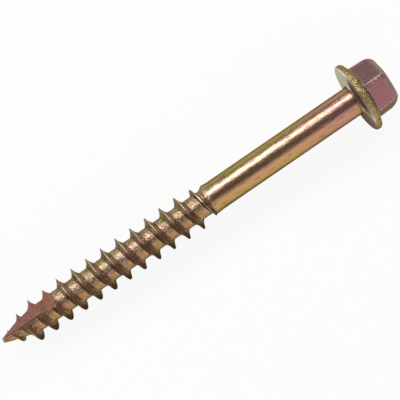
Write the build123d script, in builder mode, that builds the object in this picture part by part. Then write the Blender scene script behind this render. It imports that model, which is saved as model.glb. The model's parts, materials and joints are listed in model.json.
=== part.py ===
"""Hex flange lag screw: one cold-forged piece with a plain shank, a coarse rolled wood thread and a notched point.

The screw is drawn upright, with its axis on Z, its bearing face on the XY plane, its head above and its point
below. It is then laid down as it comes to rest: on the rim of its flange and on a thread crest near the point.
"""

from build123d import *
import os
from math import atan2, ceil, cos, degrees, radians, sin, tan

# ---- Driving dimensions, in millimetres and degrees ----
# Shank
nominal_length = 65.0  # bearing face to point
shank_diameter = 4.8
shank_length = 26.7  # bearing face to the shoulder where the rolled thread begins
head_fillet = 0.55  # under the flange
shoulder_length = 0.9  # slope from the thread's root up to the shank
shoulder_lip = 0.08  # ridge that the rolling pushed up, above the shank
lip_length = 0.9

# Flange
flange_diameter = 11.5
rim_radius = 0.5  # from the bearing face round to the widest place
rim_shoulder_width = 0.28  # from the widest place in to the flange's top
rim_shoulder_height = 0.59
flange_slope = 25.0  # top of the flange against the bearing face

# Hexagon
hex_across_flats = 8.0  # half way up the head
hex_draft = 2.5  # each flat leans in towards the end
hex_corner_round = 0.4
hex_turn = 19.0  # of the corners about the axis
head_height = 5.42  # bearing face to end face
crown_depth = 1.1  # end face down to where the flats begin
crown_inset = 0.45  # of the end face from the flats, all round
crown_corner_round = 2.2  # of the end face's corners

# Thread, right-handed with one start
thread_diameter = 6.5
root_diameter = 4.0
thread_pitch = 2.7
crest_width = 0.12
waist_width = 0.5  # of the rib half way down its hollow flanks
foot_width = 1.88  # of the rib where its flanks end, inside the root
foot_sink = 0.2  # of the flanks into the root, so that they cross its surface
full_crest_start = 5.46  # from the point, where the crest reaches its full size
full_crest_turn = 180.0  # of that place about the axis
point_crest_taper = 30.0  # crest line against the axis, along the point
point_crest_length = 4.6  # along the axis
point_pitch = 2.45
point_rib_scale = 0.3  # of the rib's section at its start on the point
runout_length = 3.65  # along the axis, where the crest sinks into the shank
runout_taper = 14.0  # crest line against the axis, along the run-out
runout_overlap = 0.51  # of the run-out past the shoulder

# Point, with one quarter cut away as an auger notch
tip_diameter = 0.5  # of the blunt end
nose_radius = 1.25  # where the blunter nose meets the cone
nose_length = 3.0  # from the tip to there
point_length = 6.4  # from the tip to the full root
notch_length = 8.0  # from the tip, along the corner between its two walls
notch_slant = 29.0  # of the notch's end across the flat wall
notch_end_slope = 28.0  # of the notch's end up from the flat wall
notch_offset = 0.25  # of the upright wall from the axis

round_steps = 2  # straight steps along each small round, which keep its facets few

# ---- Worked-out sizes ----
shank_radius = shank_diameter / 2
root_radius = root_diameter / 2
crest_radius = thread_diameter / 2
flange_radius = flange_diameter / 2
slope_radius = flange_radius - rim_shoulder_width
slope_z = rim_radius + rim_shoulder_height
flange_peak_z = slope_z + slope_radius * tan(radians(flange_slope))
point_z = -nominal_length
rib_height = crest_radius - root_radius
thread_low_z = point_z + full_crest_start
thread_high_z = -shank_length + runout_overlap - runout_length
thread_turns = (thread_high_z - thread_low_z) / thread_pitch
runout_turn = full_crest_turn + 360 * thread_turns


def rib_section(crest, scale=1.0):
    """A rib's section in the plane through the axis, with its crest line at the point given."""
    outward = Vector(crest.X, crest.Y, 0).normalized()
    edge = (0, scale * crest_width / 2)
    waist = (-scale * rib_height / 2, scale * waist_width / 2)
    foot = (-scale * (rib_height + foot_sink), scale * foot_width / 2)
    with BuildSketch(Plane(origin=crest, x_dir=outward, z_dir=outward.cross(Vector(0, 0, 1)))) as section:
        with BuildLine():
            Polyline((0, 0), edge, waist, foot, (foot[0], 0))
            mirror(about=Plane.XZ)
        make_face()
    return section.sketch


def crest_line(start_z, start_turn, length, pitch=thread_pitch, taper=0.0, direction=(0, 0, 1)):
    """The helix that a crest follows from its full radius, along the axis, narrowing by its taper."""
    with BuildLine() as line:
        Helix(pitch / cos(radians(taper)), length, crest_radius, direction=direction, cone_angle=-taper)
    drawn_start = line.edge() @ 0
    drawn_turn = degrees(atan2(drawn_start.Y, drawn_start.X))
    return line.edge().rotate(Axis.Z, start_turn - drawn_turn).moved(Location((0, 0, start_z)))


def swept_rib(line, turns, end_scale=1.0):
    """A rib along its crest line, swept in pieces of a turn or less, with its section scaled evenly to its end."""
    pieces = ceil(turns)
    with BuildPart() as rib:
        for piece in range(pieces):
            reach = (piece / pieces, (piece + 1) / pieces)
            piece_line = line.trim(*reach)
            start, end = [rib_section(line @ place, 1 + (end_scale - 1) * place) for place in reach]
            sweep([start, end], path=piece_line, multisection=True, is_frenet=True)
    return rib.part


# ---- Thread: a rib on each of three crest lines ----
full_line = crest_line(thread_low_z, full_crest_turn, thread_high_z - thread_low_z)
runout_line = crest_line(thread_high_z, runout_turn, runout_length, taper=runout_taper)
point_line = crest_line(
    thread_low_z, full_crest_turn, point_crest_length, point_pitch, point_crest_taper, direction=(0, 0, -1)
)
full_rib = swept_rib(full_line, thread_turns)
runout_rib = swept_rib(runout_line, runout_length / thread_pitch)
point_rib = swept_rib(point_line, point_crest_length / point_pitch, point_rib_scale)


# ---- Hexagon: drafted flats under a rounded crown ----
def hexagon_outline(height, inset=0.0, corner_round=hex_corner_round):
    """The hexagon's outline at a height above the bearing face, inset from its drafted flats."""
    draft_shift = (head_height / 2 - height) * tan(radians(hex_draft))
    with BuildSketch(Plane.XY.offset(height)) as outline:
        RegularPolygon(hex_across_flats / 2 + draft_shift - inset, 6, major_radius=False, rotation=hex_turn)
        fillet(outline.vertices(), corner_round)
    return outline.sketch


def crown_outline(angle):
    """The hexagon's outline where the quarter-round of its crown has turned by an angle."""
    rise = sin(radians(angle))
    height = head_height - crown_depth * (1 - rise)
    corner_round = hex_corner_round + (crown_corner_round - hex_corner_round) * rise
    return hexagon_outline(height, crown_inset * (1 - cos(radians(angle))), corner_round)


with BuildPart() as hexagon:
    loft([hexagon_outline(rim_radius), crown_outline(0)])
    loft([crown_outline(angle) for angle in (0, 30, 60, 90)], ruled=True)

# ---- Notch: the space that is cut away beside the point ----
notch_reach = crest_radius + 1


def notch_outline(height):
    """The notch's outline at a height above its flat wall, with its end sloping outwards."""
    inner_end = point_z + notch_length + height * tan(radians(notch_end_slope))
    outer_end = inner_end - (notch_reach - notch_offset) * tan(radians(notch_slant))
    below = point_z - 1
    with BuildSketch(Plane.XZ.offset(-height)) as outline:
        with BuildLine():
            Polyline(
                (notch_offset, below),
                (notch_offset, inner_end),
                (notch_reach, outer_end),
                (notch_reach, below),
                close=True,
            )
        make_face()
    return outline.sketch


def small_round(centre, radius, start_angle, end_angle):
    """Points along a small round, from one angle to the other."""
    angles = [radians(start_angle + (end_angle - start_angle) * step / round_steps) for step in range(round_steps + 1)]
    return [(centre[0] + radius * cos(angle), centre[1] + radius * sin(angle)) for angle in angles]


# ---- The whole screw, upright ----
with BuildPart() as upright:
    with BuildSketch(Plane.XZ) as half:
        with BuildLine():
            Polyline(
                (0, point_z),
                (tip_diameter / 2, point_z),
                (nose_radius, point_z + nose_length),
                (root_radius, point_z + point_length),
                (root_radius, -shank_length - shoulder_length),
                (shank_radius + shoulder_lip, -shank_length),
                (shank_radius, -shank_length + lip_length),
                *small_round((shank_radius + head_fillet, -head_fillet), head_fillet, 180, 90),
                *small_round((flange_radius - rim_radius, rim_radius), rim_radius, -90, 0),
                (slope_radius, slope_z),
                (0, flange_peak_z),
                close=True,
            )
        make_face()
    revolve(axis=Axis.Z)
    add([full_rib, point_rib, runout_rib, hexagon.part])
    loft([notch_outline(0), notch_outline(notch_reach)], mode=Mode.SUBTRACT)

# ---- The screw at rest, on the rim of its flange and the lowest full crest ----
lowest_crest_turn = 270.0
rest_crest_z = thread_low_z + thread_pitch * (lowest_crest_turn - full_crest_turn) / 360
rest_tilt = atan2(flange_radius - crest_radius, rim_radius - rest_crest_z)
resting = Plane(origin=(0, 0, 0), x_dir=(0, 1, 0), z_dir=(cos(rest_tilt), 0, sin(rest_tilt)))

with BuildPart() as lag_screw:
    add(upright.part.moved(resting.location))

lag_screw.part.label = "lag_screw"

os.makedirs("parts", exist_ok=True)
export_step(lag_screw.part, "parts/lag_screw.step")
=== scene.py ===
"""Hex flange lag screw in yellow-plated steel, lying on a pale floor.

Every length is in metres. The screw's own shape is worked out upright, with its axis on Z, its bearing
face at z = 0 and its point below, by a Geometry Nodes tree that follows the rules of its making. The
tree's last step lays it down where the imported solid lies.
"""
import json
from math import asin, atan, ceil, cos, degrees, hypot, pi, radians, sin, tan

import bpy
from mathutils import Matrix, Vector


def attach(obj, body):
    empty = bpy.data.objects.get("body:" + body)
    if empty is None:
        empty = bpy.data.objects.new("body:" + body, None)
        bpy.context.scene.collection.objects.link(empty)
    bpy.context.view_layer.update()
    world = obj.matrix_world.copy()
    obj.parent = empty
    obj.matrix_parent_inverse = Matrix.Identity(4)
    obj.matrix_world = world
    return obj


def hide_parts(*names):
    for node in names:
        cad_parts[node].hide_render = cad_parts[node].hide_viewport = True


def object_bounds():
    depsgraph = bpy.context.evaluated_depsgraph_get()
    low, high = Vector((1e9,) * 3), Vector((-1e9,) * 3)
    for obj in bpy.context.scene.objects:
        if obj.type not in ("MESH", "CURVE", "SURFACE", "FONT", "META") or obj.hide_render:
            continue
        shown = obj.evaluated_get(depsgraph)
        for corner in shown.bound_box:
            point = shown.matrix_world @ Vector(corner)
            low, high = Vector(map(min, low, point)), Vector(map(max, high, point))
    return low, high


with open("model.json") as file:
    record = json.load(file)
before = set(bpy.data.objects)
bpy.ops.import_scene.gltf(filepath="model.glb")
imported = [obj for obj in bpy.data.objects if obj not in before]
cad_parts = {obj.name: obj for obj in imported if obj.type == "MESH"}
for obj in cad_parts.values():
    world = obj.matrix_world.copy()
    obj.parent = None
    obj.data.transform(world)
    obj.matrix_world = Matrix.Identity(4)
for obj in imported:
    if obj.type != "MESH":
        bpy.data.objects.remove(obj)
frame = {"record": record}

cad_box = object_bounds()
MM = 0.001
mounts = {mount["name"]: mount for mount in frame["record"]["mounts"]}

# ---- Sizes of the screw ----
SHANK_RADIUS = mounts["shank"]["dims"]["r_mm"] * MM
SHANK_LENGTH = mounts["shank"]["dims"]["length_mm"] * MM
CREST_RADIUS = mounts["thread"]["dims"]["r_mm"] * MM
SCREW_LENGTH = SHANK_LENGTH + mounts["thread"]["dims"]["length_mm"] * MM
HEAD_HEIGHT = Vector(mounts["drive_end"]["pos_m"]).length
HEAD_DIRECTION = Vector(mounts["drive_end"]["axis"])

SIZES = {
    # Shank
    "Shank Radius": SHANK_RADIUS,
    "Shoulder Length": 0.9 * MM,
    "Lip Height": 0.08 * MM,
    "Lip Length": 0.9 * MM,
    "Head Fillet": 0.55 * MM,
    # Point
    "Tip Radius": 0.25 * MM,
    "Tip Wear": 0.3 * MM,
    "Nose Radius": 1.25 * MM,
    "Nose Length": 3.0 * MM,
    "Point Length": 6.4 * MM,
    # Thread
    "Root Radius": 2.0 * MM,
    "Crest Radius": CREST_RADIUS,
    "Pitch": 2.7 * MM,
    "Point Pitch": 2.45 * MM,
    "Crest Width": 0.12 * MM,
    "Crest Wear": 0.035 * MM,
    # Flange
    "Flange Radius": 5.75 * MM,
    "Rim Radius": 0.5 * MM,
    "Rim Shoulder Width": 0.28 * MM,
    "Rim Shoulder Height": 0.59 * MM,
    "Forged Relief": 0.13 * MM,
    # Hexagon
    "Half Across Flats": 4.0 * MM,
    "Head Height": HEAD_HEIGHT,
    "Corner Round": 0.4 * MM,
    "Crown Depth": 1.35 * MM,
    "Crown Inset": 0.6 * MM,
    "Crown Corner Round": 2.2 * MM,
}
FLANGE_SLOPE = radians(25)
HEX_DRAFT = radians(2.5)
HEX_TURN = radians(19)  # of its corners about the axis
FLANK_ANGLE = radians(11)  # of the hollow flank at the crest, off square to the axis
FOOT_WIDTH = 1.88 * MM  # of the rib where its flanks end, inside the root
FOOT_SINK = 0.2 * MM  # of the flanks into the root
FULL_CREST_START = 5.46 * MM  # from the point, where the crest reaches its full size
FULL_CREST_TURN = pi  # of that place about the axis
POINT_CREST_TAPER = radians(30)  # crest line against the axis
POINT_CREST_LENGTH = 4.6 * MM
POINT_RIB_SCALE = 0.3  # of the rib's section at its start on the point
RUNOUT_LENGTH = 3.65 * MM
RUNOUT_TAPER = radians(14)
RUNOUT_OVERLAP = 0.51 * MM  # of the run-out past the shoulder

# Notch
NOTCH_LENGTH = 7.2 * MM  # from the point, along the corner between its two walls
NOTCH_SLANT = radians(52)  # of its end, reaching further up on the outer side
NOTCH_END_SLOPE = radians(52)  # of its end, up from the flat wall
NOTCH_OFFSET = 0.25 * MM  # of the corner from the axis
FLAT_WALL_TILT = radians(22)
UPRIGHT_WALL_LEAN = radians(9)
NOTCH_MARGIN = 1 * MM  # of the cutting block past the crest and the point

# Unevenness that rolling and forging leave. A grain's scale is its number of cells in a metre.
CREST_GRAIN = 900.0
WORN_CREST_FROM = 2.9 * MM  # from the axis
FORGED_GRAIN = 2300.0
FORGED_HEIGHTS = (0.45 * MM, 0.75 * MM, 1.75 * MM, 2.1 * MM)  # where it starts, is full, fades and ends
FORGED_RADII = (4.35 * MM, 4.7 * MM)  # where it starts and is full
FORGED_STEP = (-0.35, 0.55)  # of the noise, from a hollow to a raised patch
FORGED_SINK = 0.75  # of the hollows, as a share of the relief
HEAD_GRAIN = 700.0
HEAD_UNEVENNESS = 0.012 * MM
HEAD_UNEVEN_FROM = 0.2 * MM  # above the bearing face

# ---- How finely each stretch is divided ----
COLUMNS_PER_TURN = 192
CREST_ROWS = 1
FLANK_ROWS = 5
LAND_ROWS = 2
HALF_THREAD_ROWS = CREST_ROWS + FLANK_ROWS + LAND_ROWS
TIP_ROWS = 6
HEAD_ROWS = {
    "shank": 10,
    "fillet": 8,
    "bearing": 3,
    "rim": 8,
    "shoulder": 4,
    "slope": 16,
    "flats": 8,
    "crown": 12,
    "end": 5,
}
FLAT_COLUMNS = 0.7  # share of the columns on the hexagon's flats, with the others on its rounded corners
WELD_DISTANCE = 0.001 * MM
CRISP_EDGE = radians(32)  # edges that turn by more than this shade crisply

# ---- How the screw lies: its own axis along the head's direction, and its own X along +Y ----
SIDEWAYS = Vector((0, 1, 0))
RESTING = Matrix((SIDEWAYS, HEAD_DIRECTION.cross(SIDEWAYS), HEAD_DIRECTION)).transposed()


# ---- Arithmetic on node sockets ----
class Value:
    """A number inside a node tree. Arithmetic on it adds the math nodes that work it out."""

    def __init__(self, tree, socket):
        self.tree = tree
        self.socket = socket

    def into(self, target):
        self.tree.links.new(self.socket, target)

    def math(self, operation, *others):
        node = self.tree.nodes.new("ShaderNodeMath")
        node.operation = operation
        for place, value in enumerate((self, *others)):
            set_input(self.tree, node.inputs[place], value)
        return Value(self.tree, node.outputs[0])

    def __add__(self, other):
        return self.math("ADD", other)

    def __radd__(self, other):
        return self.math("ADD", other)

    def __sub__(self, other):
        return self.math("SUBTRACT", other)

    def __rsub__(self, other):
        return self.math("MULTIPLY", -1.0).math("ADD", other)

    def __mul__(self, other):
        return self.math("MULTIPLY", other)

    def __rmul__(self, other):
        return self.math("MULTIPLY", other)

    def __truediv__(self, other):
        return self.math("DIVIDE", other)

    def __neg__(self):
        return self.math("MULTIPLY", -1.0)

    def sin(self):
        return self.math("SINE")

    def cos(self):
        return self.math("COSINE")

    def root(self):
        return self.math("SQRT")

    def size(self):
        return self.math("ABSOLUTE")

    def sign(self):
        return self.math("SIGN")

    def at_least(self, other):
        return self.math("MAXIMUM", other)

    def at_most(self, other):
        return self.math("MINIMUM", other)

    def over(self, other):
        """One where the value is greater than the other, and zero elsewhere."""
        return self.math("GREATER_THAN", other)

    def wrap(self, low, high):
        return self.math("WRAP", high, low)

    def rise(self, low, high, smooth=False):
        """Zero up to low, one from high on, and in between a straight or smooth rise."""
        node = self.tree.nodes.new("ShaderNodeMapRange")
        node.interpolation_type = "SMOOTHSTEP" if smooth else "LINEAR"
        set_input(self.tree, node.inputs["Value"], self)
        set_input(self.tree, node.inputs["From Min"], low)
        set_input(self.tree, node.inputs["From Max"], high)
        return Value(self.tree, node.outputs["Result"])

    def band(self, start, full, fade, end):
        """One between full and fade, and zero before the start and past the end."""
        return self.rise(start, full) * (1.0 - self.rise(fade, end))

    def mix(self, other, share):
        """This value at a share of zero, and the other at one."""
        return self + (other - self) * share


def set_input(tree, target, value):
    if isinstance(value, Value):
        value.into(target)
    else:
        target.default_value = value


def number(tree, value):
    node = tree.nodes.new("ShaderNodeValue")
    node.outputs[0].default_value = value
    return Value(tree, node.outputs[0])


def vector_of(tree, x, y, z):
    node = tree.nodes.new("ShaderNodeCombineXYZ")
    for place, value in enumerate((x, y, z)):
        set_input(tree, node.inputs[place], value)
    return node.outputs[0]


def parts_of(tree, vector):
    """The X, Y and Z of a vector."""
    node = tree.nodes.new("ShaderNodeSeparateXYZ")
    tree.links.new(vector, node.inputs[0])
    return [Value(tree, node.outputs[axis]) for axis in "XYZ"]


def point_place(tree):
    """Where each point of the mesh is."""
    return tree.nodes.new("GeometryNodeInputPosition").outputs[0]


def noise(tree, position, scale, detail=2.0, roughness=0.5):
    """Smooth unevenness, about zero and mostly within one either way."""
    node = tree.nodes.new("ShaderNodeTexNoise")
    node.inputs["Scale"].default_value = scale
    node.inputs["Detail"].default_value = detail
    node.inputs["Roughness"].default_value = roughness
    tree.links.new(position, node.inputs["Vector"])
    return (Value(tree, node.outputs["Fac"]) - 0.5) * 4.0


# ---- The screw's shape as a node tree ----
def grid(tree, columns, rows):
    """A flat sheet, with the number of each point's column and row."""
    sheet = tree.nodes.new("GeometryNodeMeshGrid")
    sheet.inputs["Size X"].default_value = columns
    sheet.inputs["Size Y"].default_value = rows
    sheet.inputs["Vertices X"].default_value = columns + 1
    sheet.inputs["Vertices Y"].default_value = rows + 1
    x, y, _ = parts_of(tree, point_place(tree))
    column = (x + columns / 2).math("ROUND")
    row = (y + rows / 2).math("ROUND")
    return sheet.outputs["Mesh"], column, row


def move_points(tree, geometry, **inputs):
    """Gives each point a new Position, or moves it by an Offset."""
    move = tree.nodes.new("GeometryNodeSetPosition")
    tree.links.new(geometry, move.inputs["Geometry"])
    for name, vector in inputs.items():
        tree.links.new(vector, move.inputs[name])
    return move.outputs["Geometry"]


def bend(tree, sheet, radius, angle, height):
    """Takes each point of a sheet to its place round the axis."""
    return move_points(
        tree, sheet, Position=vector_of(tree, radius * angle.cos(), radius * angle.sin(), height)
    )


def core_radius(size, height):
    """Radius of the screw without its thread, from the point up along the shank."""
    point = -SCREW_LENGTH
    root_end = -SHANK_LENGTH - size["Shoulder Length"]
    nose = height.rise(point, point + size["Nose Length"])
    cone = height.rise(point + size["Nose Length"], point + size["Point Length"])
    shoulder = height.rise(root_end, -SHANK_LENGTH, smooth=True)
    after_lip = height.rise(-SHANK_LENGTH, size["Lip Length"] - SHANK_LENGTH, smooth=True)
    return (
        size["Tip Radius"].mix(size["Nose Radius"], nose)
        + (size["Root Radius"] - size["Nose Radius"]) * cone
        + (size["Shank Radius"] + size["Lip Height"] - size["Root Radius"]) * shoulder
        - size["Lip Height"] * after_lip
    )


# ---- Worked-out sizes of the thread ----
RIB_HEIGHT = CREST_RADIUS - SIZES["Root Radius"]
RIB_DEPTH = RIB_HEIGHT + FOOT_SINK
FLANK_REACH = (FOOT_WIDTH - SIZES["Crest Width"]) / 2
FLANK_CHORD = hypot(RIB_DEPTH, FLANK_REACH)
# radius of the round that each flank follows, and its turn from the crest down to the root
FLANK_ROUND = FLANK_CHORD**2 / (2 * (FLANK_REACH * cos(FLANK_ANGLE) - RIB_DEPTH * sin(FLANK_ANGLE)))
FLANK_SWEEP = asin(sin(FLANK_ANGLE) + RIB_HEIGHT / FLANK_ROUND) - FLANK_ANGLE
FULL_LOW = FULL_CREST_START - SCREW_LENGTH
FULL_HIGH = RUNOUT_OVERLAP - RUNOUT_LENGTH - SHANK_LENGTH
FULL_TURNS = (FULL_HIGH - FULL_LOW) / SIZES["Pitch"]
POINT_TURNS = POINT_CREST_LENGTH / SIZES["Point Pitch"]
RUNOUT_TURNS = RUNOUT_LENGTH / SIZES["Pitch"]
SPARE_TURNS = 0.08  # of the strip past the run-out's end
START_TURN = -3 + HEX_TURN / (2 * pi)  # from the first full crest, in line with a corner of the hexagon
START_ANGLE = FULL_CREST_TURN + START_TURN * 2 * pi
THREAD_COLUMNS = ceil((FULL_TURNS + RUNOUT_TURNS + SPARE_TURNS + 1 - START_TURN) * COLUMNS_PER_TURN)
END_TURN = START_TURN + THREAD_COLUMNS / COLUMNS_PER_TURN
LAND_AT_POINT = 0.21 * MM  # from the crest to the strip's edge
LAND_TURNS = 1.9  # over which it grows to half a pitch


def crest_height(size, turn):
    """Height of the crest after a number of turns from the first full crest."""
    return turn.at_least(0.0) * size["Pitch"] + turn.at_most(0.0) * size["Point Pitch"] + FULL_LOW


def land_below(size, turn):
    """Half of the way down to the crest one turn lower, and less along the point."""
    grown = (turn / LAND_TURNS + 1.0).at_least(0.0).at_most(1.0)
    return grown * (size["Pitch"] / 2 - LAND_AT_POINT) + LAND_AT_POINT


def strip_edge(size, turn):
    """Height of the strip's lower edge."""
    return crest_height(size, turn) - land_below(size, turn)


def thread_sheet(tree, size):
    """One strip that winds up the screw, a turn wide, with the rib along its middle."""
    sheet, column, row = grid(tree, THREAD_COLUMNS, 2 * HALF_THREAD_ROWS)
    turn = column / COLUMNS_PER_TURN + START_TURN
    low_end = strip_edge(size, number(tree, START_TURN + 1))
    high_end = strip_edge(size, number(tree, END_TURN))

    side = (row - HALF_THREAD_ROWS).sign()
    step = (row - HALF_THREAD_ROWS).size()
    rib_scale = 1.0 + turn.at_most(0.0) * ((1 - POINT_RIB_SCALE) / POINT_TURNS)
    rib_scale = rib_scale.at_least(POINT_RIB_SCALE)
    flank_turn = step.rise(CREST_ROWS, CREST_ROWS + FLANK_ROWS) * FLANK_SWEEP + FLANK_ANGLE
    reach = cos(FLANK_ANGLE) - flank_turn.cos()
    drop = flank_turn.sin() - sin(FLANK_ANGLE)
    crest_half = step.rise(0.0, CREST_ROWS) * size["Crest Width"] / 2
    from_crest = rib_scale * (crest_half + reach * FLANK_ROUND)

    crest = crest_height(size, turn)
    above = strip_edge(size, turn + 1.0) - crest
    below = land_below(size, turn)
    land = step.rise(CREST_ROWS + FLANK_ROWS, HALF_THREAD_ROWS)
    land_edge = below.mix(above, side.over(0.0))
    height = crest + side * from_crest.mix(land_edge, land)
    height = height.at_least(low_end).at_most(high_end)

    crest_radius = (
        size["Crest Radius"]
        + turn.at_most(0.0) * size["Point Pitch"] * tan(POINT_CREST_TAPER)
        - (turn - FULL_TURNS).at_least(0.0) * size["Pitch"] * tan(RUNOUT_TAPER)
    )
    rib_radius = (crest_radius - rib_scale * drop * FLANK_ROUND) * (1.0 - land.over(0.0))
    angle = turn * (2 * pi) + FULL_CREST_TURN
    radius = core_radius(size, height).at_least(rib_radius)
    return bend(tree, sheet, radius, angle, height), low_end, high_end


def tip_sheet(tree, size, low_end):
    """A round cap that closes the point."""
    sheet, column, row = grid(tree, COLUMNS_PER_TURN, TIP_ROWS)
    quarter = (1.0 - row / TIP_ROWS) * (pi / 2)
    angle = column * (2 * pi / COLUMNS_PER_TURN) + START_ANGLE
    height = low_end.mix(size["Tip Wear"] - SCREW_LENGTH, quarter.sin())
    return bend(tree, sheet, core_radius(size, low_end) * quarter.cos(), angle, height)


def hexagon_radius(size, angle, height, inset, corner_round):
    """How far the rounded hexagon reaches from the axis at an angle."""
    half_flats = size["Half Across Flats"] + (size["Head Height"] / 2 - height) * tan(HEX_DRAFT) - inset
    from_middle = (angle - HEX_TURN - pi / 6).wrap(-pi / 6, pi / 6).size()
    flat = half_flats / from_middle.cos()
    centre = (half_flats - corner_round) / cos(pi / 6)
    from_corner = pi / 6 - from_middle
    across = centre * from_corner.sin()
    corner = centre * from_corner.cos() + (corner_round * corner_round - across * across).at_least(0.0).root()
    along_flat = half_flats * (from_middle.sin() / from_middle.cos())
    return flat.mix(corner, along_flat.over((half_flats - corner_round) * tan(pi / 6)))


def head_sheet(tree, size, low_end):
    """The smooth shank and the whole head, ring by ring from the thread to the middle of the end face."""
    sheet, column, row = grid(tree, COLUMNS_PER_TURN, sum(HEAD_ROWS.values()))
    share = {}
    first = {}
    done = 0
    for stretch, rows in HEAD_ROWS.items():
        first[stretch] = done
        share[stretch] = row.rise(float(done), float(done + rows))
        done += rows

    # columns are even round the shank, and closer at the hexagon's corners
    even = column * (2 * pi / COLUMNS_PER_TURN) + START_ANGLE
    from_middle = (even - HEX_TURN - pi / 6).wrap(-pi / 6, pi / 6)
    half_flats = SIZES["Half Across Flats"]
    corner_start = atan((half_flats - SIZES["Corner Round"]) * tan(pi / 6) / half_flats)
    spread = from_middle.size() / (pi / 6)
    along_flat = spread.rise(0.0, FLAT_COLUMNS) * corner_start
    gathered = along_flat + spread.rise(FLAT_COLUMNS, 1.0) * (pi / 6 - corner_start)
    angle = even + (from_middle.sign() * gathered - from_middle) * share["slope"]

    fillet_turn = share["fillet"] * (pi / 2)
    rim_turn = share["rim"] * (pi / 2)
    shoulder_turn = share["shoulder"] * (pi / 2)
    bearing_width = size["Flange Radius"] - size["Rim Radius"] - size["Shank Radius"] - size["Head Fillet"]
    radius = (
        size["Shank Radius"]
        + size["Head Fillet"] * (1.0 - fillet_turn.cos())
        + bearing_width * share["bearing"]
        + size["Rim Radius"] * rim_turn.sin()
        - size["Rim Shoulder Width"] * (1.0 - shoulder_turn.cos())
    )
    height = (
        low_end.mix(-size["Head Fillet"], share["shank"])
        + size["Head Fillet"] * fillet_turn.sin()
        + size["Rim Radius"] * (1.0 - rim_turn.cos())
        + size["Rim Shoulder Height"] * shoulder_turn.sin()
    )

    # up the slope to the foot of the hexagon
    foot_height = size["Rim Radius"] + size["Rim Shoulder Height"] * 2.0
    foot = hexagon_radius(size, angle, foot_height, 0.0, size["Corner Round"])
    slope_radius = radius.mix(foot, share["slope"])
    slope_height = height + (radius - slope_radius) * tan(FLANGE_SLOPE)

    # up the flats, over the crown and in to the middle of the end
    crown_turn = share["crown"] * (pi / 2)
    crown_start = size["Head Height"] - size["Crown Depth"]
    hex_height = slope_height.mix(crown_start, share["flats"]) + size["Crown Depth"] * crown_turn.sin()
    inset = size["Crown Inset"] * (1.0 - crown_turn.cos())
    corner_round = size["Corner Round"].mix(size["Crown Corner Round"], crown_turn.sin())
    hex_radius = hexagon_radius(size, angle, hex_height, inset, corner_round) * (1.0 - share["end"])
    on_hexagon = row.over(first["flats"] + 0.5)
    return bend(
        tree,
        sheet,
        slope_radius.mix(hex_radius, on_hexagon),
        angle,
        slope_height.mix(hex_height, on_hexagon),
    )


def notch_end(x, y):
    """Height at which the notch ends, at a place across the screw."""
    corner_end = NOTCH_LENGTH - SCREW_LENGTH
    return (x - NOTCH_OFFSET) * tan(NOTCH_SLANT) + y * tan(NOTCH_END_SLOPE) + corner_end


def notch_block(tree):
    """A solid the size of the space beside the point, with its end sloping outwards."""
    reach = CREST_RADIUS + NOTCH_MARGIN
    block = tree.nodes.new("GeometryNodeMeshCube")
    outward, up, along = (part.over(0.0) for part in parts_of(tree, point_place(tree)))
    inner = NOTCH_OFFSET - up * (reach * tan(UPRIGHT_WALL_LEAN))
    x = inner.mix(number(tree, reach), outward)
    y = (outward * (NOTCH_OFFSET - reach) * tan(FLAT_WALL_TILT)).mix(number(tree, reach), up)
    z = number(tree, -SCREW_LENGTH - NOTCH_MARGIN).mix(notch_end(x, y), along)
    return move_points(tree, block.outputs["Mesh"], Position=vector_of(tree, x, y, z))


def roughen(tree, geometry, size):
    """Small unevenness that rolling and forging leave, worked out from each point's place."""
    place = point_place(tree)
    x, y, z = parts_of(tree, place)
    radius = (x * x + y * y).root()
    on_crest = radius.rise(WORN_CREST_FROM, CREST_RADIUS) * (1.0 - z.over(-SHANK_LENGTH))
    crest = on_crest * noise(tree, place, CREST_GRAIN, detail=3.0, roughness=0.6) * size["Crest Wear"]
    slope = z.band(*FORGED_HEIGHTS) * radius.rise(*FORGED_RADII)
    grain = noise(tree, place, FORGED_GRAIN, detail=1.5).rise(*FORGED_STEP, smooth=True) - FORGED_SINK
    relief = slope * grain * size["Forged Relief"]
    head = z.over(HEAD_UNEVEN_FROM) * noise(tree, place, HEAD_GRAIN) * HEAD_UNEVENNESS
    normal = tree.nodes.new("GeometryNodeInputNormal")
    scaled = tree.nodes.new("ShaderNodeVectorMath")
    scaled.operation = "SCALE"
    tree.links.new(normal.outputs[0], scaled.inputs[0])
    (crest + relief + head).into(scaled.inputs["Scale"])
    return move_points(tree, geometry, Offset=scaled.outputs[0])


def chain(tree, geometry, kind, **inputs):
    """Adds a node that the geometry passes through."""
    node = tree.nodes.new(kind)
    for name, value in inputs.items():
        node.inputs[name.replace("_", " ")].default_value = value
    mesh_input = "Geometry" if "Geometry" in node.inputs else "Mesh"
    tree.links.new(geometry, node.inputs[mesh_input])
    return node


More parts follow.
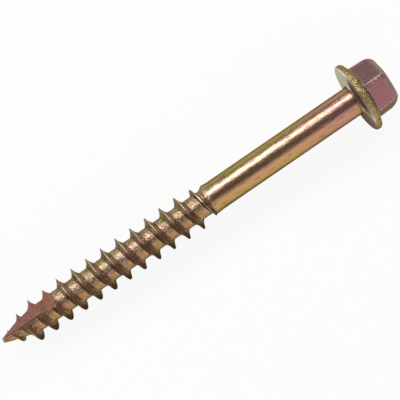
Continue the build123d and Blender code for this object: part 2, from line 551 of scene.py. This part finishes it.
def screw_tree(material):
    tree = bpy.data.node_groups.new("rolled and forged screw", "GeometryNodeTree")
    tree.interface.new_socket("Geometry", in_out="OUTPUT", socket_type="NodeSocketGeometry")
    for name, length in SIZES.items():
        socket = tree.interface.new_socket(name, in_out="INPUT", socket_type="NodeSocketFloat")
        socket.default_value = length
    given = tree.nodes.new("NodeGroupInput")
    size = {name: Value(tree, given.outputs[name]) for name in SIZES}

    thread, low_end, high_end = thread_sheet(tree, size)
    join = tree.nodes.new("GeometryNodeJoinGeometry")
    for sheet in (thread, tip_sheet(tree, size, low_end), head_sheet(tree, size, high_end)):
        tree.links.new(sheet, join.inputs[0])
    weld = chain(tree, join.outputs[0], "GeometryNodeMergeByDistance", Distance=WELD_DISTANCE)
    rough = roughen(tree, weld.outputs[0], size)

    cut = tree.nodes.new("GeometryNodeMeshBoolean")
    cut.operation = "DIFFERENCE"
    cut.solver = "EXACT"
    tree.links.new(rough, cut.inputs["Mesh 1"])
    tree.links.new(notch_block(tree), cut.inputs["Mesh 2"])

    # faces shade smoothly, and edges that turn sharply stay crisp
    smooth = chain(tree, cut.outputs["Mesh"], "GeometryNodeSetShadeSmooth")
    edge_angle = tree.nodes.new("GeometryNodeInputMeshEdgeAngle")
    crisp = Value(tree, edge_angle.outputs["Unsigned Angle"]).over(CRISP_EDGE)
    edges = chain(tree, smooth.outputs[0], "GeometryNodeSetShadeSmooth", Shade_Smooth=False)
    edges.domain = "EDGE"
    crisp.into(edges.inputs["Selection"])

    lay_down = chain(tree, edges.outputs[0], "GeometryNodeTransform")
    lay_down.inputs["Rotation"].default_value = RESTING.to_euler()
    solid = chain(tree, lay_down.outputs[0], "GeometryNodeRealizeInstances")
    finish = chain(tree, solid.outputs[0], "GeometryNodeSetMaterial")
    finish.inputs["Material"].default_value = material
    out = tree.nodes.new("NodeGroupOutput")
    tree.links.new(finish.outputs[0], out.inputs[0])
    return tree


def make_screw(material):
    tree = screw_tree(material)
    blank = bpy.data.objects.new("blank", bpy.data.meshes.new("blank"))
    bpy.context.scene.collection.objects.link(blank)
    modifier = blank.modifiers.new("rolled and forged", "NODES")
    modifier.node_group = tree
    for item in tree.interface.items_tree:
        if item.in_out == "INPUT":
            modifier[item.identifier] = SIZES[item.name]
    depsgraph = bpy.context.evaluated_depsgraph_get()
    mesh = bpy.data.meshes.new_from_object(blank.evaluated_get(depsgraph), depsgraph=depsgraph)
    bpy.data.objects.remove(blank)
    mesh.name = "screw"
    screw = bpy.data.objects.new("screw", mesh)
    bpy.context.scene.collection.objects.link(screw)
    return screw


# ---- Finishes ----
def place_on_screw(tree):
    """The screw's own upright coordinates, at any point of its laid-down surface."""
    place = tree.nodes.new("ShaderNodeTexCoord")
    upright = tree.nodes.new("ShaderNodeMapping")
    upright.vector_type = "TEXTURE"
    upright.inputs["Rotation"].default_value = RESTING.to_euler()
    tree.links.new(place.outputs["Object"], upright.inputs["Vector"])
    return upright.outputs["Vector"]


def streaked(tree, place, grain, detail=3.0, roughness=0.6):
    """Noise whose grains are drawn out along the screw, from their number in a metre around and along it."""
    x, y, z = parts_of(tree, place)
    around, along = grain
    stretched = vector_of(tree, x * around, y * around, z * along)
    return noise(tree, stretched, 1.0, detail, roughness)


def ramp(tree, value, *stops):
    """A colour that changes with a value, from stops of a value and a colour each."""
    node = tree.nodes.new("ShaderNodeValToRGB")
    points = node.color_ramp.elements
    while len(points) < len(stops):
        points.new(0.5)
    for point, (place, colour) in zip(points, stops):
        point.position = place
        point.color = (*colour, 1)
    value.into(node.inputs["Fac"])
    return node.outputs["Color"]


def ramp_round(tree, turned, *stops):
    """A colour that changes round the axis, from stops of an angle in degrees and a colour each."""
    return ramp(tree, turned, *((angle / 360, colour) for angle, colour in stops))


def blend_colours(tree, first, second, share):
    """The first colour at a share of zero, and the second at one."""
    node = tree.nodes.new("ShaderNodeMix")
    node.data_type = "RGBA"
    set_input(tree, node.inputs["Factor"], share)
    for name, colour in (("A", first), ("B", second)):
        target = next(item for item in node.inputs if item.name == name and item.type == "RGBA")
        if isinstance(colour, tuple):
            target.default_value = (*colour, 1)
        else:
            tree.links.new(colour, target)
    return next(item for item in node.outputs if item.type == "RGBA")


# Colours of the film, some of them also used as painted highlights, reflections and shade
OLIVE = (0.37, 0.31, 0.11)
GOLD = (0.50, 0.34, 0.11)
PALE_GOLD = (0.66, 0.49, 0.38)
ORANGE = (0.56, 0.31, 0.11)
DARK_ORANGE = (0.50, 0.22, 0.07)
SALMON = (0.60, 0.30, 0.18)
MAUVE = (0.46, 0.22, 0.21)
DEEP_PINK = (0.50, 0.22, 0.22)
DARK_MAUVE = (0.28, 0.17, 0.13)
BROWN = (0.30, 0.20, 0.13)
DARK_OLIVE = (0.24, 0.18, 0.09)
UMBER = (0.19, 0.13, 0.10)
SHADE = (0.12, 0.09, 0.07)
TAN = (0.50, 0.37, 0.27)
PALE_ZINC = (0.90, 0.88, 0.70)
PLUM = (0.25, 0.145, 0.14)
ROSE = (0.42, 0.18, 0.20)
BRICK = (0.50, 0.23, 0.17)
PALE_PINK = (0.80, 0.66, 0.52)
RED_BROWN = (0.24, 0.10, 0.085)
SAGE = (0.50, 0.45, 0.32)
MOSS = (0.42, 0.34, 0.15)
CLAY = (0.40, 0.30, 0.25)

# The film's colour at angles about the axis, in degrees, with painted light in places
# Round the shank, pale gold at 58 to 73 degrees is a painted highlight, dark mauve at 83 to 100 a painted dark
# reflection band, and dark olive to shade at 160 to 172 a painted dark lower edge; the other stops are the film's
# colour.
SHANK_FILM_AND_PAINTED_LIGHT = (
    (0, OLIVE),
    (48, OLIVE),
    (58, PALE_GOLD),
    (73, PALE_GOLD),
    (83, DARK_MAUVE),
    (100, DARK_MAUVE),
    (112, SALMON),
    (128, ORANGE),
    (142, GOLD),
    (160, DARK_OLIVE),
    (172, SHADE),
    (200, OLIVE),
    (236, GOLD),
    (272, SALMON),
    (310, GOLD),
    (360, OLIVE),
)
# On the flanks, pale pink at 65 to 80 degrees is a painted highlight, and umber to shade at 145 to 180 painted
# shade on the lower side.
FLANK_FILM_AND_PAINTED_LIGHT = (
    (0, SAGE),
    (45, SAGE),
    (65, PALE_PINK),
    (80, PALE_PINK),
    (93, TAN),
    (125, TAN),
    (145, UMBER),
    (180, SHADE),
    (230, BROWN),
    (360, SAGE),
)
# Under the flange, pale zinc at 0 to 45 degrees and pale pink at 136 are painted highlights, and the clay between
# them a painted reflection of the shank.
UNDER_FLANGE_FILM_AND_PAINTED_REFLECTIONS = (
    (0, PALE_ZINC),
    (45, PALE_ZINC),
    (60, CLAY),
    (122, CLAY),
    (136, PALE_PINK),
    (155, CLAY),
    (250, BROWN),
    (330, PALE_ZINC),
)
# Painted light and shade: each flat gets its own tone, plum, the darkest, on the two flats toward the upper side.
FLAT_FILMS_AND_PAINTED_SHADE = (PLUM, ROSE, CLAY, BROWN, ROSE, PLUM)
FLAT_FADE = 1  # degrees, to either side of the hexagon's corners

# Where each part of the screw starts and is full, and for a band also where it fades and ends
ABOVE_SLOPE = (0.02 * MM, 0.08 * MM)  # heights above the flange's slope
PAST_HEXAGON = (4.7 * MM, 4.8 * MM)  # from the axis
CROWN = (HEAD_HEIGHT - 1.0 * MM, HEAD_HEIGHT - 0.2 * MM)
RIM = (0.12 * MM, 0.3 * MM)
UNDERSIDE = (-0.25 * MM, -0.1 * MM, *RIM)
FILLET = (-0.6 * MM, -0.4 * MM, -0.25 * MM, -0.1 * MM)
NEAR_HEAD = (-14 * MM, -3 * MM, -1.5 * MM, -0.3 * MM)
THREAD_END = (-SHANK_LENGTH - 0.5 * MM, -SHANK_LENGTH + 0.5 * MM)
FLANK = (2.25 * MM, 2.7 * MM)  # from the axis
CREST = (CREST_RADIUS - 0.2 * MM, CREST_RADIUS - 0.1 * MM)  # from the axis
LOWER_SIDE = (100 / 360, 118 / 360, 130 / 360, 160 / 360)  # of a turn about the axis
MIDDLE_OF_LAND = (0.05, 0.2)  # of a pitch, to either side
HALF_FLAT = 1 / 12  # of a turn, from the middle of one of the hexagon's flats to its corner
BRIGHT_CORNER = (2 / 360, 3 / 360)  # of a turn, to either side of the hexagon's corners
CORNER_WIDENING = 6 / 360  # of a turn, from the corner's foot up to the end face
CORNER_FOOT = 1.5 * MM
RIM_FILM = (5.25 * MM, 5.45 * MM)  # from the axis
OFF_CUT = (0.02 * MM, 0.04 * MM)  # from a wall of the notch, where its film fades and ends
PAST_NOTCH_END = 0.05 * MM

# Grains of the film's noise, in a metre, and for streaks their number around and along the screw
SPECKLE_GRAIN = 3500.0
CLOUD_GRAIN = 1300.0
PIT_GRAIN = 2600.0
WANDER_GRAIN = (500.0, 90.0)
WANDER = 0.012  # of the bands round the shank, in turns
PATCH_GRAIN = (1100.0, 160.0)
DARK_STREAK_GRAIN = (2600.0, 500.0)
DRAWN_GRAIN = (3200.0, 700.0)

# The surface's gloss and fine relief
EDGE_TINT = (0.20, 0.16, 0.12, 1)  # of what the metal mirrors at a low angle
SMOOTHEST = 0.30
SPECKLE_ROUGHNESS = 0.05
ADDED_ROUGHNESS = {
    "thread": 0.04,
    "hexagon": 0.12,
    "flange": 0.06,
    "underside": 0.15,
    "cut": 0.2,
    "crest": 0.15,
}
DRAWN_RELIEF = 0.012  # millimetres
PIT_DEPTHS = {"thread": 0.05, "hexagon": 0.004, "flange": 0.06}  # millimetres


def bumps(tree, height):
    """A shading normal that stands for fine relief, whose height is in millimetres."""
    node = tree.nodes.new("ShaderNodeBump")
    node.inputs["Strength"].default_value = 1.0
    node.inputs["Distance"].default_value = MM
    height.into(node.inputs["Height"])
    return node.outputs["Normal"]


def near_zero(distance):
    """One on a wall of the notch and zero a little way off it, from the distance to it."""
    return 1.0 - distance.size().rise(*OFF_CUT)


def parts_of_screw(x, y, z):
    """A value for each part of the surface, one on it and zero elsewhere, and how far round the axis a point is."""
    radius = (x * x + y * y).root()
    turned = (y.math("ARCTAN2", x) / (2 * pi) + 1.0).math("FRACT")
    slope_end = SIZES["Flange Radius"] - SIZES["Rim Shoulder Width"]
    slope_foot = SIZES["Rim Radius"] + SIZES["Rim Shoulder Height"]
    above_slope = z - (slope_foot - (radius - slope_end) * tan(FLANGE_SLOPE))
    on_hexagon = above_slope.rise(*ABOVE_SLOPE) * (1.0 - radius.rise(*PAST_HEXAGON))
    off_corner = (turned - HEX_TURN / (2 * pi)).wrap(-HALF_FLAT, HALF_FLAT).size()
    corner_start, corner_end = BRIGHT_CORNER
    corner_end = z.rise(CORNER_FOOT, HEAD_HEIGHT) * CORNER_WIDENING + corner_end
    on_thread = 1.0 - z.rise(*THREAD_END)
    off_middle = ((z - FULL_LOW) / SIZES["Pitch"] - turned + 0.5).wrap(0.0, 1.0) - 0.5
    middle_of_land = 1.0 - off_middle.size().rise(*MIDDLE_OF_LAND, smooth=True)

    from_corner = x - NOTCH_OFFSET
    off_flat_wall = from_corner * sin(FLAT_WALL_TILT) + y * cos(FLAT_WALL_TILT)
    off_upright_wall = from_corner * cos(UPRIGHT_WALL_LEAN) + y * sin(UPRIGHT_WALL_LEAN)
    past_notch_end = z - notch_end(x, y)
    before_notch_end = 1.0 - past_notch_end.over(PAST_NOTCH_END)
    on_flat_wall = near_zero(off_flat_wall) * from_corner.over(0.0)
    on_notch_end = near_zero(past_notch_end)

    return {
        "hexagon": on_hexagon,
        "hexagon's corners": 1.0 - off_corner.rise(corner_start, corner_end),
        "crown": z.rise(*CROWN),
        "flange": z.rise(*RIM) * (1.0 - on_hexagon),
        "rim": radius.rise(*RIM_FILM),
        "underside": z.band(*UNDERSIDE),
        "fillet": z.band(*FILLET),
        "near head": z.band(*NEAR_HEAD),
        "thread": on_thread,
        "flanks": radius.rise(*FLANK) * on_thread,
        "crest": radius.rise(*CREST) * on_thread,
        "lower lands": middle_of_land * turned.band(*LOWER_SIDE) * on_thread,
        "notch's end": on_notch_end,
        "cut": on_flat_wall.at_least(on_notch_end) * before_notch_end,
        "upright wall": near_zero(off_upright_wall) * y.over(0.0) * before_notch_end,
    }, turned


def add_on_parts(value, on, amounts):
    """The value, with an amount added on each part of the screw that has one."""
    for part, amount in amounts.items():
        value = value + on[part] * amount
    return value


def shank_film_and_painted_light(tree, place, turned):
    """The shank's film changes round it, and lies in streaks along it; round it, it also carries a painted
    highlight, a painted dark reflection band and a painted dark lower edge.
    """
    wander = streaked(tree, place, WANDER_GRAIN) * WANDER
    around = ramp_round(tree, (turned + wander).math("FRACT"), *SHANK_FILM_AND_PAINTED_LIGHT)
    film = streaked(tree, place, PATCH_GRAIN, detail=4.0).rise(-1.0, 1.0)
    patches = ramp(tree, film, (0.1, OLIVE), (0.4, GOLD), (0.6, ORANGE), (0.8, SALMON), (1.0, MAUVE))
    return blend_colours(tree, around, patches, 0.3)


def flats_film_and_painted_shade(tree, turned):
    """Each of the hexagon's flats has a colour of its own, which paints the light and shade that flat is seen in.
    """
    first_corner = degrees(HEX_TURN)
    stops = [(0, FLAT_FILMS_AND_PAINTED_SHADE[-1])]
    for flat, film in enumerate(FLAT_FILMS_AND_PAINTED_SHADE):
        start = first_corner + 60 * flat
        stops += [(start + FLAT_FADE, film), (min(start + 60 - FLAT_FADE, 360), film)]
    return ramp_round(tree, turned, *stops)


def head_film_and_painted_glints(tree, on, turned, cloud, speckle):
    """The hexagon's film, with painted glints of pale gold speckled over darkened corners, and paler on its crown.
    """
    film = flats_film_and_painted_shade(tree, turned)
    film = blend_colours(tree, film, BRICK, cloud.rise(0.1, 1.2) * 0.5)
    # Painted glints: the corners are darkened to brown, then speckled with pale gold.
    film = blend_colours(tree, film, BROWN, on["hexagon's corners"] * 0.8)
    film = blend_colours(tree, film, PALE_GOLD, on["hexagon's corners"] * speckle.rise(0.1, 0.6))
    return blend_colours(tree, film, TAN, on["crown"] * 0.8)


def flange_film(tree, on, speckle):
    """The flange's film: speckled from dark olive through moss to gold on the rim, and tan inward of it."""
    film = ramp(tree, speckle.rise(-1.0, 1.0), (0.2, DARK_OLIVE), (0.5, MOSS), (0.95, GOLD))
    return blend_colours(tree, TAN, film, on["rim"])


def plating():
    """Yellow chromate over zinc, thinner and thicker in streaks, from gold through pink to olive, with painted
    highlights, reflections and shade in places.
    """
    material = bpy.data.materials.new("yellow plating")
    material.use_nodes = True
    tree = material.node_tree
    shader = tree.nodes["Principled BSDF"]
    place = place_on_screw(tree)
    x, y, z = parts_of(tree, place)
    on, turned = parts_of_screw(x, y, z)
    speckle = noise(tree, place, SPECKLE_GRAIN, detail=3.0, roughness=0.6)
    cloud = noise(tree, place, CLOUD_GRAIN, detail=3.0, roughness=0.6)

    colour = shank_film_and_painted_light(tree, place, turned)
    colour = blend_colours(tree, colour, DEEP_PINK, on["near head"] * cloud.rise(-2.5, 0.5) * 0.7)
    dark_streaks = streaked(tree, place, DARK_STREAK_GRAIN, roughness=0.65).rise(0.1, 0.9)
    colour = blend_colours(tree, colour, SHADE, dark_streaks * 0.7)

    # the thread's is browner; on the ribs' flanks it carries painted light and shade, a pale painted highlight
    # toward the lit side and painted shade on the lower side
    dull = ((0.2, OLIVE), (0.4, UMBER), (0.6, PALE_GOLD), (0.8, PLUM), (1.0, GOLD))
    colour = blend_colours(tree, colour, ramp(tree, cloud.rise(-1.0, 1.0), *dull), on["thread"] * 0.45)
    colour = blend_colours(tree, colour, DARK_ORANGE, on["lower lands"] * cloud.rise(-1.6, 0.6) * 0.7)
    flanks = ramp_round(tree, turned, *FLANK_FILM_AND_PAINTED_LIGHT)
    colour = blend_colours(tree, colour, flanks, on["flanks"] * cloud.rise(-2.0, 0.0))
    # Painted shade: the crests darken toward the lower side.
    colour = blend_colours(tree, colour, SHADE, on["crest"] * (-x).rise(-2.2 * MM, 0.5 * MM) * 0.85)

    # the head's
    colour = blend_colours(tree, colour, head_film_and_painted_glints(tree, on, turned, cloud, speckle), on["hexagon"])
    colour = blend_colours(tree, colour, flange_film(tree, on, speckle), on["flange"])
    # Painted reflections and highlights under the flange.
    colour = blend_colours(tree, colour, ramp_round(tree, turned, *UNDER_FLANGE_FILM_AND_PAINTED_REFLECTIONS), on["underside"])
    # Painted shade in the crease where the shank meets the flange.
    colour = blend_colours(tree, colour, UMBER, on["fillet"] * 0.95)

    # bare cuts beside the point took a redder one
    cut_film = blend_colours(tree, RED_BROWN, PLUM, cloud.rise(0.0, 1.2) * 0.7)
    # Painted light: the notch's end face is made lighter than its flat wall.
    cut_film = blend_colours(tree, cut_film, BRICK, on["notch's end"] * cloud.rise(-1.5, 0.5) * 0.8)
    colour = blend_colours(tree, colour, cut_film, on["cut"] * 0.95)
    colour = blend_colours(tree, colour, MOSS, on["upright wall"] * 0.9)

    tree.links.new(colour, shader.inputs["Base Color"])
    shader.inputs["Metallic"].default_value = 1.0
    shader.inputs["Specular Tint"].default_value = EDGE_TINT
    roughness = add_on_parts(speckle * SPECKLE_ROUGHNESS + SMOOTHEST, on, ADDED_ROUGHNESS)
    roughness.into(shader.inputs["Roughness"])

    drawn = streaked(tree, place, DRAWN_GRAIN, roughness=0.65) * DRAWN_RELIEF
    pitted = noise(tree, place, PIT_GRAIN, roughness=0.6) * add_on_parts(0.0, on, PIT_DEPTHS)
    tree.links.new(bumps(tree, drawn + pitted), shader.inputs["Normal"])
    return material


FLOOR_COLOUR = (0.9, 0.9, 0.9, 1)
SEEN_WHITENESS = 0.9  # share of plain white in what is seen of the floor


def floor_finish():
    """A pale floor that the eye and the metal see as white, with the screw's soft shadow on it."""
    material = bpy.data.materials.new("pale floor")
    material.use_nodes = True
    tree = material.node_tree
    shader = tree.nodes["Principled BSDF"]
    shader.inputs["Base Color"].default_value = FLOOR_COLOUR
    shader.inputs["Roughness"].default_value = 0.9
    white = tree.nodes.new("ShaderNodeEmission")
    white.inputs["Strength"].default_value = 1.0
    ray = tree.nodes.new("ShaderNodeLightPath")
    seen = Value(tree, ray.outputs["Is Camera Ray"])
    for kind in ("Is Glossy Ray", "Is Transmission Ray"):
        seen = seen.at_least(Value(tree, ray.outputs[kind]))
    mix = tree.nodes.new("ShaderNodeMixShader")
    (seen * SEEN_WHITENESS).into(mix.inputs["Fac"])
    tree.links.new(shader.outputs[0], mix.inputs[1])
    tree.links.new(white.outputs[0], mix.inputs[2])
    tree.links.new(mix.outputs[0], tree.nodes["Material Output"].inputs["Surface"])
    return material


screw = make_screw(plating())
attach(screw, "root")
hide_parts("lag_screw")

# ---- Floor, lights and camera ----
FLOOR_SIZE = 3.0
floor_height = cad_box[0].z
floor_mesh = bpy.data.meshes.new("floor")
half = FLOOR_SIZE / 2
corners = ((-half, -half), (half, -half), (half, half), (-half, half))
floor_mesh.from_pydata([(x, y, floor_height) for x, y in corners], [], [(0, 1, 2, 3)])
floor = bpy.data.objects.new("floor", floor_mesh)
floor_mesh.materials.append(floor_finish())
bpy.context.scene.collection.objects.link(floor)


def soft_light(name, toward, distance, size, power, target):
    """A rectangular lamp that faces the target from a direction."""
    data = bpy.data.lights.new(name, "AREA")
    data.shape = "RECTANGLE"
    data.size, data.size_y = size
    data.energy = power
    lamp = bpy.data.objects.new(name, data)
    toward = Vector(toward).normalized()
    lamp.location = Vector(target) + toward * distance
    lamp.rotation_euler = toward.to_track_quat("Z", "Y").to_euler()
    bpy.context.scene.collection.objects.link(lamp)


middle = (cad_box[0] + cad_box[1]) / 2
soft_light("key", toward=(0.0, 0.69, 0.72), distance=0.5, size=(1.2, 0.16), power=3.2, target=middle)
soft_light("fill", toward=(0.0, -0.88, 0.47), distance=0.5, size=(1.2, 0.6), power=1.8, target=middle)

STUDIO_GREY = (0.2, 0.2, 0.2, 1)
world = bpy.data.worlds.new("studio")
world.use_nodes = True
surroundings = world.node_tree.nodes["Background"]
surroundings.inputs["Color"].default_value = STUDIO_GREY
surroundings.inputs["Strength"].default_value = 1.0
bpy.context.scene.world = world
bpy.context.scene.view_settings.view_transform = "Standard"

# The camera looks square down on the screw's axis, from a short way above it.
AXIS_TURN = radians(34.47)  # of the screw's axis in the picture, rising to the right
EYE_HEIGHT = 0.187
EYE_ALONG = -0.028  # from the bearing face, toward the head
EYE_ASIDE = 0.00075
VIEW_ANGLE = radians(18.41227)  # from side to side
up_from_screw = RESTING.col[1]
eye = HEAD_DIRECTION * EYE_ALONG + SIDEWAYS * EYE_ASIDE + up_from_screw * EYE_HEIGHT
right = HEAD_DIRECTION * cos(AXIS_TURN) - SIDEWAYS * sin(AXIS_TURN)
upward = HEAD_DIRECTION * sin(AXIS_TURN) + SIDEWAYS * cos(AXIS_TURN)
camera_data = bpy.data.cameras.new("camera")
camera_data.sensor_width = 36.0
camera_data.angle = VIEW_ANGLE
camera = bpy.data.objects.new("camera", camera_data)
facing = Matrix((right, upward, up_from_screw)).transposed().to_4x4()
camera.matrix_world = Matrix.Translation(eye) @ facing
bpy.context.scene.collection.objects.link(camera)
bpy.context.scene.camera = camera
